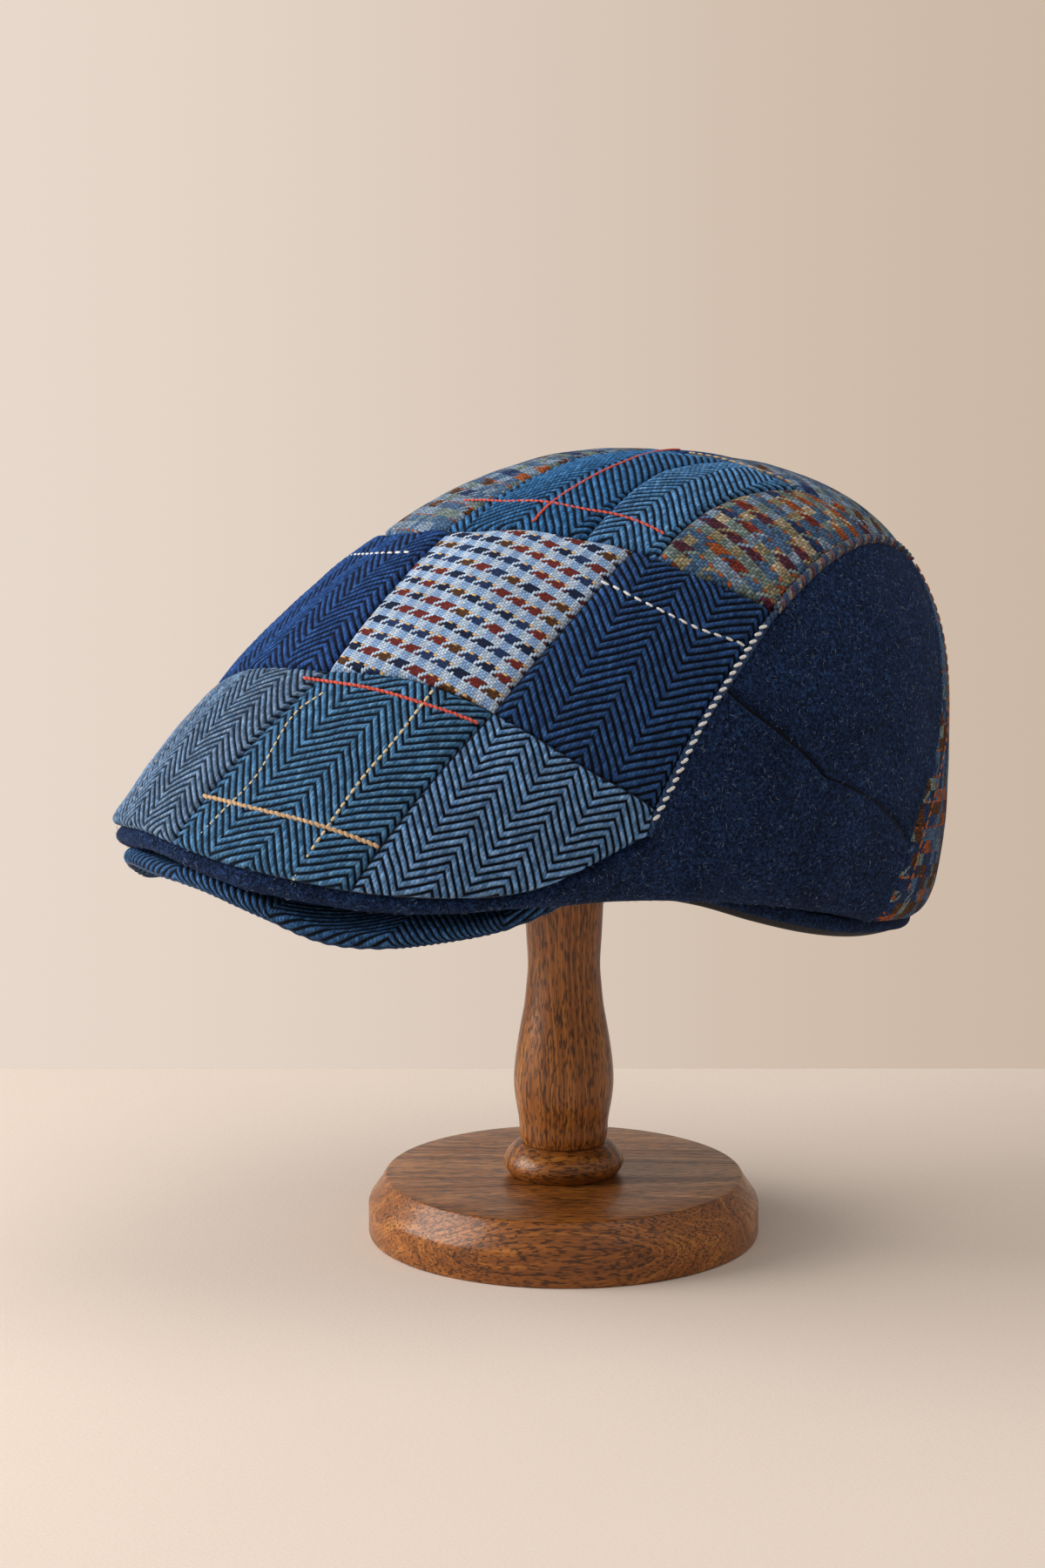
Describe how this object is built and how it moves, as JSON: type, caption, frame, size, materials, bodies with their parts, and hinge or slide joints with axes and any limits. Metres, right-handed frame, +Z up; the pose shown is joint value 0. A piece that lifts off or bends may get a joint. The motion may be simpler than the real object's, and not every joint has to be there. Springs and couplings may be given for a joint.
{
  "type": "flat cap on wooden stand",
  "caption": "Duckbill flat cap of pieced tweed patches with navy felt sides and a stiff peak, resting on a turned wooden display stand.",
  "frame": {"origin": "centre of the stand's flat underside, on its turning axis", "axes": "+Z up along the stand's stem, -Y towards the cap's peak, +X towards the wearer's left"},
  "size_m": [0.192, 0.275, 0.2485],
  "materials": {
    "navy_felt": "wool felt, matt with fine pale hairs",
    "light_blue_herringbone": "woven wool herringbone",
    "teal_windowpane": "woven wool herringbone with a windowpane",
    "fine_herringbone": "woven wool, fine herringbone",
    "royal_herringbone": "woven wool herringbone",
    "houndstooth": "woven wool houndstooth check",
    "navy_herringbone": "woven wool herringbone",
    "grey_plaid": "woven wool plaid",
    "teal_herringbone": "woven wool herringbone",
    "mid_blue_herringbone": "woven wool herringbone",
    "brown_houndstooth": "woven wool gun-club check",
    "dark_ribbon": "dark woven ribbon",
    "stained_wood": "stained and varnished wood"
  },
  "bodies": {
    "root": {"front_band": "navy_felt", "hem_band": "navy_felt", "patch_back_left": "teal_windowpane", "patch_back_right": "royal_herringbone", "patch_crown_centre": "teal_herringbone", "patch_crown_far": "mid_blue_herringbone", "patch_crown_left": "mid_blue_herringbone", "patch_crown_outer": "brown_houndstooth", "patch_crown_right": "grey_plaid", "patch_front_centre": "teal_windowpane", "patch_front_far": "royal_herringbone", "patch_front_left": "fine_herringbone", "patch_front_right": "light_blue_herringbone", "patch_middle_centre": "houndstooth", "patch_middle_far": "brown_houndstooth", "patch_middle_left": "navy_herringbone", "patch_middle_right": "royal_herringbone", "patch_rear_left": "grey_plaid", "patch_rear_right": "navy_herringbone", "peak": "fine_herringbone", "seam_welt_left": "teal_herringbone", "seam_welt_right": "teal_herringbone", "side_front_left": "navy_felt", "side_front_right": "navy_felt", "side_rear_left": "navy_felt", "side_rear_right": "navy_felt", "stand_base": "stained_wood", "stand_collar": "stained_wood", "stand_head": "stained_wood", "stand_stem": "stained_wood", "sweatband": "dark_ribbon"}
  },
  "joints": []
}
